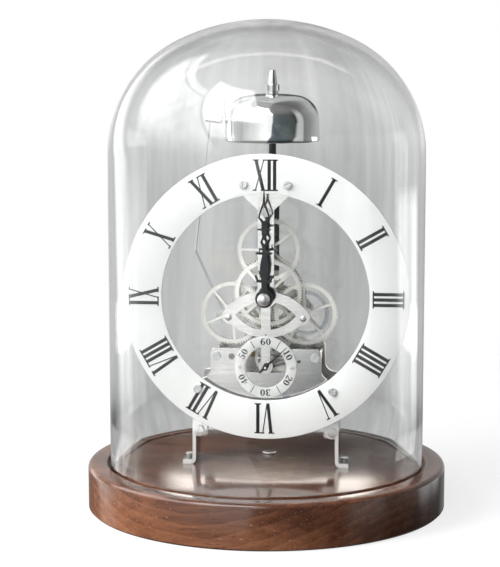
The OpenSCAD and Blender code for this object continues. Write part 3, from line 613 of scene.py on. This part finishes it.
def inkNumeral(bm, text):
    s = numeralStyle
    tall, thick, thin, serif, over = s["tall"], s["thick"], s["thin"], s["serif"], s["overhang"]
    tuck = over * s["tuck"]
    width = sum(letterWidth[c] for c in text) + s["gap"] * (len(text) - 1)
    at = -width / 2
    feet, heads = [], []  # spans that the serifs tie together
    for c in text:
        left, right = at, at + letterWidth[c]
        middle = (left + right) / 2
        if c == "I":
            inkStroke(bm, middle, middle, 0, tall, thick, thick)
            feet.append((left - over, right + over))
            heads.append((left - over, right + over))
        elif c == "V":
            inkStroke(bm, middle - s["vMeet"], left + thick / 2 + s["vInset"], 0, tall, thick * s["vTaper"], thick)
            inkStroke(bm, middle + s["vMeet"], right - thin / 2 - s["vInset"], 0, tall, thin, thin)
            heads.append((left - tuck, left + thick + over))
            heads.append((right - thin - over, right + tuck))
        else:
            wideAt, thinAt = thick / 2 + s["xInset"], thin / 2 + s["xThinInset"]
            inkStroke(bm, right - wideAt, left + wideAt, 0, tall, thick, thick)
            inkStroke(bm, left + thinAt, right - thinAt, 0, tall, thin, thin)
            heads.append((left - tuck, left + thick + over))
            heads.append((right - thin - over, right + tuck))
            feet.append((left - tuck, left + thin + over))
            feet.append((right - thick - over * s["wideTuck"], right + tuck))
        at = right + s["gap"]
    for spans, low in ((feet, 0), (heads, tall - serif)):
        merged = []
        for a, b in spans:
            if merged and a < merged[-1][1] + s["tie"]:
                merged[-1][1] = max(merged[-1][1], b)
            else:
                merged.append([a, b])
        for a, b in merged:
            inkStroke(bm, (a + b) / 2, (a + b) / 2, low, low + serif, b - a, b - a)


def raisePrint(bm, depth):
    bmesh.ops.recalc_face_normals(bm, faces=bm.faces)
    for face in bm.faces:
        if face.normal.z < 0:
            face.normal_flip()
    made = bmesh.ops.extrude_face_region(bm, geom=bm.faces[:], use_keep_orig=True)
    lifted = [g for g in made["geom"] if isinstance(g, bmesh.types.BMVert)]
    bmesh.ops.translate(bm, verts=lifted, vec=(0, 0, depth))
    bmesh.ops.recalc_face_normals(bm, faces=bm.faces)


def setOnDial(whole, bm, depth, foot, front, degrees):  # degrees run clockwise from twelve
    raisePrint(bm, depth)
    bmesh.ops.translate(bm, verts=bm.verts, vec=(0, foot, front))
    bmesh.ops.rotate(bm, verts=bm.verts, cent=(0, 0, 0), matrix=Matrix.Rotation(radians(-degrees), 3, "Z"))
    joinInto(whole, bm)


def printNumerals():
    s = numeralStyle
    whole = bmesh.new()
    for hour, text in numerals.items():
        bm = bmesh.new()
        inkNumeral(bm, text)
        setOnDial(whole, bm, s["print"], s["foot"], ringShape["front"], 30 * hour)
    faceForward(whole)
    finishPiece("hourNumerals", whole, "case", "printInk", place=handsAt)


secondsStyle = {"tall": 3.75, "wide": 4.5, "pitch": 0.68, "foot": 12.55, "tickIn": 12.2, "tickOut": 16.9,
                "tickWide": 0.42, "ticks": (5, 25, 35, 55), "print": 0.04,
                "thin": 0.075, "thick": 0.20, "swell": 1.5, "bowlSteps": 24, "side": 0.05}
digitShapes = {  # bowls: centre, radii, from and to angles; bars: ends and width
    "0": {"bowls": [(0.30, 0.5, 0.20, 0.46, 0, 360)], "bars": []},
    "1": {"bowls": [],
          "bars": [(0.32, 0, 0.32, 1, 0.17), (0.10, 0.03, 0.54, 0.03, 0.06), (0.12, 0.84, 0.30, 0.97, 0.07)]},
    "2": {"bowls": [(0.29, 0.71, 0.19, 0.25, 165, -35)],
          "bars": [(0.44, 0.57, 0.10, 0.08, 0.10), (0.06, 0.075, 0.54, 0.075, 0.15),
                   (0.52, 0.06, 0.55, 0.24, 0.05), (0.10, 0.72, 0.20, 0.72, 0.12)]},
    "3": {"bowls": [(0.27, 0.74, 0.18, 0.23, 155, -90), (0.27, 0.27, 0.21, 0.25, 90, -155)],
          "bars": [(0.10, 0.80, 0.20, 0.80, 0.12), (0.07, 0.20, 0.18, 0.20, 0.12)]},
    "4": {"bowls": [],
          "bars": [(0.40, 0, 0.40, 1, 0.16), (0.40, 0.97, 0.03, 0.30, 0.07),
                   (0.02, 0.28, 0.58, 0.28, 0.07), (0.24, 0.03, 0.56, 0.03, 0.06)]},
    "5": {"bowls": [(0.27, 0.31, 0.20, 0.28, 130, -150)],
          "bars": [(0.11, 0.94, 0.50, 0.94, 0.12), (0.14, 0.95, 0.12, 0.50, 0.06), (0.06, 0.19, 0.17, 0.19, 0.12)]},
    "6": {"bowls": [(0.31, 0.29, 0.20, 0.26, 0, 360), (0.44, 0.40, 0.33, 0.56, 185, 85)],
          "bars": [(0.40, 0.88, 0.52, 0.88, 0.12)]},
}


def inkRibbon(bm, path):  # path of middle points and half widths
    sides = [[], []]
    for k, (x, y, half) in enumerate(path):
        before, after = path[max(k - 1, 0)], path[min(k + 1, len(path) - 1)]
        across = Vector((before[1] - after[1], after[0] - before[0])).normalized() * half
        sides[0].append((x + across.x, y + across.y, 0))
        sides[1].append((x - across.x, y - across.y, 0))
    chain(bm, sides[0])
    drawn = bmesh.ops.extrude_edge_only(bm, edges=bm.edges[-len(path) + 1:])
    across = {tuple(round(c, 5) for c in a): b for a, b in zip(*sides)}
    for vert in drawn["geom"]:
        if isinstance(vert, bmesh.types.BMVert):
            vert.co = across[tuple(round(c, 5) for c in vert.co)]


def inkDigit(bm, text, left):
    s = secondsStyle
    for cx, cy, rx, ry, start, end in digitShapes[text]["bowls"]:
        path = []
        for k in range(s["bowlSteps"] + 1):
            a = radians(start + (end - start) * k / s["bowlSteps"])
            half = (s["thin"] + (s["thick"] - s["thin"]) * abs(math.cos(a)) ** s["swell"]) / 2
            path.append((left + cx + rx * math.cos(a), cy + ry * math.sin(a), half))
        inkRibbon(bm, path)
    for x0, y0, x1, y1, width in digitShapes[text]["bars"]:
        inkRibbon(bm, [(left + x0, y0, width / 2), (left + x1, y1, width / 2)])


def printSeconds():
    s = secondsStyle
    whole = bmesh.new()
    for k, text in enumerate(("60", "10", "20", "30", "40", "50")):
        bm = bmesh.new()
        inkDigit(bm, text[0], -s["pitch"] + s["side"])
        inkDigit(bm, text[1], s["side"])
        bmesh.ops.scale(bm, verts=bm.verts, vec=(s["wide"], s["tall"], 1))
        setOnDial(whole, bm, s["print"], s["foot"], secondsShape["front"], 60 * k)
    for second in s["ticks"]:
        bm = bmesh.new()
        inkStroke(bm, 0, 0, s["tickIn"], s["tickOut"], s["tickWide"], s["tickWide"])
        setOnDial(whole, bm, s["print"], 0, secondsShape["front"], 6 * second)
    faceForward(whole)
    finishPiece("secondsPrint", whole, "case", "printInk", place=secondsAt)


printNumerals()
printSeconds()
print("dial printed")


# domed caps over the two outer pivots of the front plate

capShape = {"profile": [(0, 0), (1.9, 0), (1.9, 0.4), (1.55, 0.8), (0.9, 1.05), (0, 1.1)], "steps": 40,
            "places": [-20.785, 20.785], "rise": -12.0}


def turnCaps():
    whole = bmesh.new()
    for x in capShape["places"]:
        bm = lathe(capShape["profile"], capShape["steps"])
        faceForward(bm)
        bmesh.ops.translate(bm, verts=bm.verts, vec=(x, 0, capShape["rise"]))
        joinInto(whole, bm)
    finishPiece("pivotCaps", whole, "case", "satinSteel", sharp=40.0, place=handsAt)


turnCaps()
print("caps set")


# movement pieces keep the solids' own outlines, with their edges eased

easedNodes = {  # finish, slot, edge width in mm
    ("platedNickel", "polished_nickel", 0.40): ["front_plate"],
    ("backSteel", "polished_nickel", 0.30): ["back_plate"],
    ("satinSteel", "polished_nickel", 0.30): ["balance_cock", "escape_bridge"],
    ("legNickel", "chrome_trim", 0.30): ["left_leg", "right_leg"],
    ("platedNickel", "chrome_trim", 0.30): ["leg_screws", "foot_screws"],
    ("brightChrome", "chrome_trim", 0.25): ["base_stud"],
    ("satinSteel", "chrome_trim", 0.18): ["pillar_screws", "ring_screws", "seconds_rivets"],
    ("brightChrome", "chrome_trim", 0.18): ["hammer"],
    ("turnedSteel", "steel", 0.15): [
        "ring_standoffs", "post_screws", "hammer_stud", "centre_arbor", "minute_arbor", "strike_arbor",
        "intermediate_arbor", "drive_arbor", "barrel_arbor", "ratchet_wheel", "click", "click_stud",
        "pallet_lever", "bridge_screws", "regulator"],
    ("gunmetal", "hand_black", 0.2): ["bell_post"],
    ("bareBrass", "bare_brass", 0.15): ["setting_knob"],
    ("bareBrass", "bare_brass", 0.06): ["escape_wheel", "balance_wheel"],
    ("wheelNickel", "nickel_wheel", 0.15): ["hammer_head"],
    ("wheelNickel", "nickel_wheel", 0.07): [
        "hour_wheel", "minute_wheel", "strike_wheel", "intermediate_wheel", "fourth_wheel"],
    # painted shade: the inner train gets the darker nickel, as though in shade between the plates
    ("shadedTrainNickel", "nickel_wheel", 0.15): ["hour_pipe", "pillars", "mainspring_barrel", "barrel_cover"],
    ("shadedTrainNickel", "nickel_wheel", 0.07): ["cannon_pinion", "centre_wheel", "drive_wheel", "third_wheel"],
    ("blackLacquer", "hand_black", 0.09): ["minute_hand", "hour_hand", "seconds_hand"],
    ("springSteel", "spring_steel", 0.04): ["mainspring", "hairspring"],
}
easing = {"merge": 0.002, "flat": 0.4, "sharper": 35, "segments": 2}  # millimetres and degrees


def easeNode(node, finish, width):
    cad = frame["nodes"][node]
    bm = bmesh.new()
    bm.from_mesh(cad.data)
    bmesh.ops.scale(bm, verts=bm.verts, vec=(1 / mm, 1 / mm, 1 / mm))
    bmesh.ops.remove_doubles(bm, verts=bm.verts, dist=easing["merge"])
    bmesh.ops.dissolve_limit(bm, angle_limit=radians(easing["flat"]), verts=bm.verts, edges=bm.edges)
    words = node.split("_")
    name = words[0] + "".join(w.capitalize() for w in words[1:])
    piece = finishPiece(name, bm, cad["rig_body"], finish, [node])
    ease = piece.modifiers.new("easedEdges", "BEVEL")
    ease.width = width * mm
    ease.segments = easing["segments"]
    ease.limit_method = "ANGLE"
    ease.angle_limit = radians(easing["sharper"])
    ease.harden_normals = True


for (finish, slot, width), nodes in easedNodes.items():
    for node in nodes:
        easeNode(node, finish, width)
print("movement eased:", sum(len(nodes) for nodes in easedNodes.values()))


# floor, room and lamps, in metres

floorShape = {"radius": 0.8, "segments": 96, "fadeFrom": 0.30, "fadeTo": 0.55,
              "tone": (0.18, 0.18, 0.18, 1.0), "hold": (0.25, 0.25, 0.25, 1.0), "glow": 0.80}


def plainShader(tree, kind, values):
    node = tree.nodes.new(kind)
    setSockets(node, values)
    return node.outputs[0]


def layFloor():
    f = floorShape
    bm = bmesh.new()
    bmesh.ops.create_circle(bm, cap_ends=True, radius=f["radius"], segments=f["segments"])
    floor = meshObject("paleFloor", bm)
    mat, tree, shader, coords = startMaterial("paleFloor")
    tree.nodes.remove(shader)
    plain = plainShader(tree, "ShaderNodeBsdfDiffuse", {"Color": f["tone"]})
    seen = tree.nodes.new("ShaderNodeAddShader")  # what the camera sees keeps the shadow
    tree.links.new(plainShader(tree, "ShaderNodeBsdfDiffuse", {"Color": f["hold"]}), seen.inputs[0])
    tree.links.new(plainShader(tree, "ShaderNodeEmission", {"Strength": f["glow"]}), seen.inputs[1])
    byCamera = tree.nodes.new("ShaderNodeLightPath").outputs["Is Camera Ray"]
    surface = mixShaders(tree, byCamera, plain, seen.outputs["Shader"])
    far = tree.nodes.new("ShaderNodeVectorMath")
    far.operation = "LENGTH"
    tree.links.new(coords, far.inputs[0])
    fade = spread(tree, far.outputs["Value"], 0.0, 1.0, f["fadeFrom"], f["fadeTo"], "SMOOTHSTEP")
    surface = mixShaders(tree, fade, surface, plainShader(tree, "ShaderNodeBsdfTransparent", {}))
    tree.links.new(surface, tree.nodes["Material Output"].inputs["Surface"])
    floor.data.materials.append(mat)
    floor.visible_glossy = False  # metal and glass see the room behind instead
    floor.visible_transmission = False


roomLook = {  # turns of the room from behind the clock, past its left, its front and its right
    "walls": [(0.00, 0.58), (0.004, 0.46), (0.008, 0.36), (0.011, 0.50), (0.0135, 0.58), (0.0155, 0.44),
              (0.0180, 0.62), (0.0205, 0.52), (0.0235, 0.66), (0.026, 0.56), (0.06, 0.66), (0.190, 0.60),
              (0.195, 0.70), (0.210, 1.30), (0.222, 0.75), (0.240, 0.72), (0.290, 0.58), (0.40, 1.10),
              (0.478, 1.55), (0.660, 1.00), (0.735, 0.85), (0.745, 0.30), (0.80, 0.45), (0.895, 0.80),
              (0.94, 0.60)],
    "ceiling": [(0.00, 0.58), (0.20, 0.58), (0.44, 0.58), (0.52, 0.30), (0.66, 0.26), (0.76, 0.16),
                (0.90, 0.24), (0.97, 0.58)],
    "ceilingFrom": 0.45, "ceilingTo": 0.85,
    "front": [(0.484, (1.0, 1.0, 1.0)), (0.489, (0.10, 0.115, 0.13)), (0.520, (0.08, 0.10, 0.11)),
              (0.60, (0.08, 0.10, 0.10)), (0.650, (0.04, 0.04, 0.04)), (0.672, (0.85, 0.85, 0.85))],
    "frontReach": 0.185, "frontLean": 0.17,  # the dark doorway before the clock leans low down
    "low": [(0.384, 0.15), (0.393, 0.22), (0.400, 0.80), (0.415, 1.0)],  # dimmer near the floor
    "folds": (80, 80, 0.6), "foldTones": [(0.30, 0.76), (0.70, 1.20)],
    "smear": (16, 16, 3), "smearTones": [(0.36, 0.62), (0.58, 1.0)],
    "dimmed": 0.85,  # how much less the room lights matt surfaces than it shows in shiny ones
    "behind": [(0.0, 1.0), (0.055, 1.0), (0.08, 0.0), (0.92, 0.0), (0.945, 1.0), (1.0, 1.0)],
    "skirt": [(0.45, 0.90), (0.485, 1.60), (0.505, 1.5), (0.54, 1.0)],
    "mirrored": [(0.54, 1.0), (0.58, 0.08), (0.645, 0.08), (0.69, 1.0)],  # dim where the base top mirrors it
    "whiteShare": 0.25,
    "lean": 0.145,  # the window's posts lean as they rise
    "panes": [  # strength, then the spans across and up, where 0.5 is the horizon
        (2.0, [(0.104, 0), (0.116, 1), (0.165, 0.9), (0.172, 0)],
         [(0.38, 0.25), (0.415, 1), (0.56, 0.9), (0.72, 0)]),
        (4.2, [(0.226, 0), (0.238, 0.7), (0.255, 0.85), (0.300, 1), (0.438, 0.9), (0.441, 0)],
         [(0.53, 0), (0.60, 0.35), (0.68, 0.9), (0.75, 1), (0.877, 1), (0.879, 0.2), (0.882, 0.2),
          (0.884, 1), (0.905, 1), (0.911, 0)]),
        (8.0, [(0.446, 0), (0.449, 1), (0.505, 1), (0.507, 0.1), (0.508, 0.1), (0.510, 1), (0.551, 1),
               (0.553, 0.1), (0.554, 0.1), (0.556, 1), (0.599, 1), (0.604, 0)],
         [(0.78, 0), (0.79, 1), (0.948, 1), (0.952, 0)]),
        (5.0, [(0.446, 0), (0.449, 1), (0.500, 1), (0.505, 0)],
         [(0.655, 0), (0.68, 0.9), (0.78, 1), (0.785, 0)]),
        (2.0, [(0.800, 0), (0.806, 1), (0.845, 0.8), (0.850, 0.3), (0.855, 0.9), (0.885, 0.7), (0.890, 0)],
         [(0.388, 0), (0.395, 0.6), (0.417, 1), (0.420, 0.3), (0.423, 1), (0.448, 1), (0.452, 0)]),
    ],
}
throughDome = 2.5  # a ray with more transmissions than this has left through the dome


def grey(value):
    return (value, value, value)


def greyRamp(tree, value, stops):
    return rampOn(tree, value, [(at, grey(tone)) for at, tone in stops])


def lightRoom():
    r = roomLook
    world = bpy.data.worlds.new("softRoom")
    scene.world = world
    world.use_nodes = True
    world.cycles.sampling_method = "NONE"  # so each kind of ray finds its own share of the room
    tree = world.node_tree
    coords = tree.nodes.new("ShaderNodeTexCoord").outputs["Generated"]
    path = tree.nodes.new("ShaderNodeLightPath").outputs
    axes = splitAxes(tree, coords)
    height = axes["Z"]
    level = spread(tree, height, 0.0, 1.0, -1.0, 1.0)
    turn = maths(tree, "ARCTAN2", axes["X"], maths(tree, "MULTIPLY", axes["Y"], -1.0))
    turn = maths(tree, "ADD", maths(tree, "MULTIPLY", turn, 0.5 / math.pi), 0.5)

    walls = greyRamp(tree, turn, r["walls"])
    lowered = maths(tree, "ADD", maths(tree, "MINIMUM", height, 0.0), r["frontReach"])
    lowered = maths(tree, "MULTIPLY", lowered, r["frontLean"])
    front = rampOn(tree, maths(tree, "SUBTRACT", turn, lowered), r["front"])
    bounced = maths(tree, "MINIMUM", maths(tree, "ADD", path["Glossy Depth"], path["Diffuse Depth"]), 1.0)
    walls = blendColours(tree, bounced, walls, times(tree, walls, front))
    walls = times(tree, walls, greyRamp(tree, level, r["low"]))
    rise = spread(tree, height, 0.0, 1.0, r["ceilingFrom"], r["ceilingTo"], "SMOOTHSTEP")
    room = blendColours(tree, rise, walls, greyRamp(tree, turn, r["ceiling"]))
    folds = noiseOn(tree, stretched(tree, coords, r["folds"]), 1.0, 4.0, 0.6)
    room = times(tree, room, greyRamp(tree, folds, r["foldTones"]))

    smear = noiseOn(tree, stretched(tree, coords, r["smear"]), 1.0, 4.0, 0.6)
    smear = greyRamp(tree, smear, r["smearTones"])
    leaned = maths(tree, "ADD", turn, maths(tree, "MULTIPLY", height, r["lean"]))
    for strength, across, up in r["panes"]:
        pane = times(tree, greyRamp(tree, leaned, across), greyRamp(tree, level, up))
        pane = times(tree, times(tree, pane, smear), grey(strength))
        room = blendColours(tree, 1.0, room, pane, "ADD")

    behind = greyRamp(tree, turn, r["behind"])
    skirt = greyRamp(tree, level, r["skirt"])
    inside = maths(tree, "GREATER_THAN", path["Transmission Depth"], throughDome)
    skirt = blendColours(tree, inside, skirt, times(tree, skirt, greyRamp(tree, level, r["mirrored"])))
    room = blendColours(tree, behind, room, times(tree, room, skirt))
    shade = tree.nodes["Background"]
    tree.links.new(room, shade.inputs["Color"])
    dimmed = maths(tree, "MULTIPLY", path["Is Diffuse Ray"], r["dimmed"])
    tree.links.new(maths(tree, "SUBTRACT", 1.0, dimmed), shade.inputs["Strength"])

    # white for camera rays, and for a share of the rays that metal and glass send
    white = plainShader(tree, "ShaderNodeBackground", {"Color": (1, 1, 1, 1)})
    share = maths(tree, "MULTIPLY", maths(tree, "MULTIPLY", behind, skirt), r["whiteShare"])
    shiny = maths(tree, "MAXIMUM", path["Is Glossy Ray"], path["Is Transmission Ray"])
    seen = maths(tree, "MAXIMUM", path["Is Camera Ray"], maths(tree, "MULTIPLY", shiny, share))
    surface = mixShaders(tree, seen, shade.outputs["Background"], white)
    tree.links.new(surface, tree.nodes["World Output"].inputs["Surface"])


cardShape = {"wide": 0.160, "tall": 0.036, "at": (-0.0107, 0.125, 0.077), "fadeFrom": 0.36, "fadeTo": 0.5,
             "glow": {"Color": (1.0, 0.93, 0.86, 1.0), "Strength": 4.4}}


def standCard():  # a pale card behind the clock, seen only as a sheen on the base
    c = cardShape
    bm = bmesh.new()
    bmesh.ops.create_grid(bm, x_segments=1, y_segments=1, size=0.5)
    bmesh.ops.scale(bm, verts=bm.verts, vec=(c["wide"], c["tall"], 1))
    card = meshObject("paleCard", bm)
    card.location = c["at"]
    card.rotation_euler = (radians(90), 0, 0)
    mat, tree, shader, coords = startMaterial("paleCard")
    tree.nodes.remove(shader)
    path = tree.nodes.new("ShaderNodeLightPath").outputs
    shown = maths(tree, "MULTIPLY", maths(tree, "GREATER_THAN", path["Glossy Depth"], 0.5),
                  maths(tree, "GREATER_THAN", path["Transmission Depth"], throughDome))
    axes = splitAxes(tree, coords)
    for axis, size in (("X", c["wide"]), ("Y", c["tall"])):  # soft edges
        out = maths(tree, "ABSOLUTE", axes[axis], 0.0)
        fade = spread(tree, out, 1.0, 0.0, size * c["fadeFrom"], size * c["fadeTo"], "SMOOTHSTEP")
        shown = maths(tree, "MULTIPLY", shown, fade)
    clear = plainShader(tree, "ShaderNodeBsdfTransparent", {})
    surface = mixShaders(tree, shown, clear, plainShader(tree, "ShaderNodeEmission", c["glow"]))
    tree.links.new(surface, tree.nodes["Material Output"].inputs["Surface"])
    card.data.materials.append(mat)
    card.visible_camera = False
    card.visible_diffuse = False
    card.visible_shadow = False


lamps = {  # place, width and height, power
    "keyLamp": {"at": (-1.30, -0.91, 1.11), "size": (0.9, 0.9), "power": 53.0},
    "fillLamp": {"at": (-0.2, -1.5, 0.9), "size": (0.9, 0.9), "power": 9.0},
}
lampsAimAt = Vector((0, 0, 0.12))


def hangLamps():
    for name, lamp in lamps.items():
        data = bpy.data.lights.new(name, "AREA")
        data.shape = "RECTANGLE"
        data.size, data.size_y = lamp["size"]
        data.energy = lamp["power"]
        holder = addObject(name, data)
        holder.location = lamp["at"]
        aim = lampsAimAt - holder.location
        holder.rotation_euler = aim.to_track_quat("-Z", "Y").to_euler()
        holder.visible_glossy = False  # shiny pieces show the room, not the lamps
        holder.visible_transmission = False
        holder.visible_camera = False


layFloor()
standCard()
lightRoom()
hangLamps()
print("room lit")
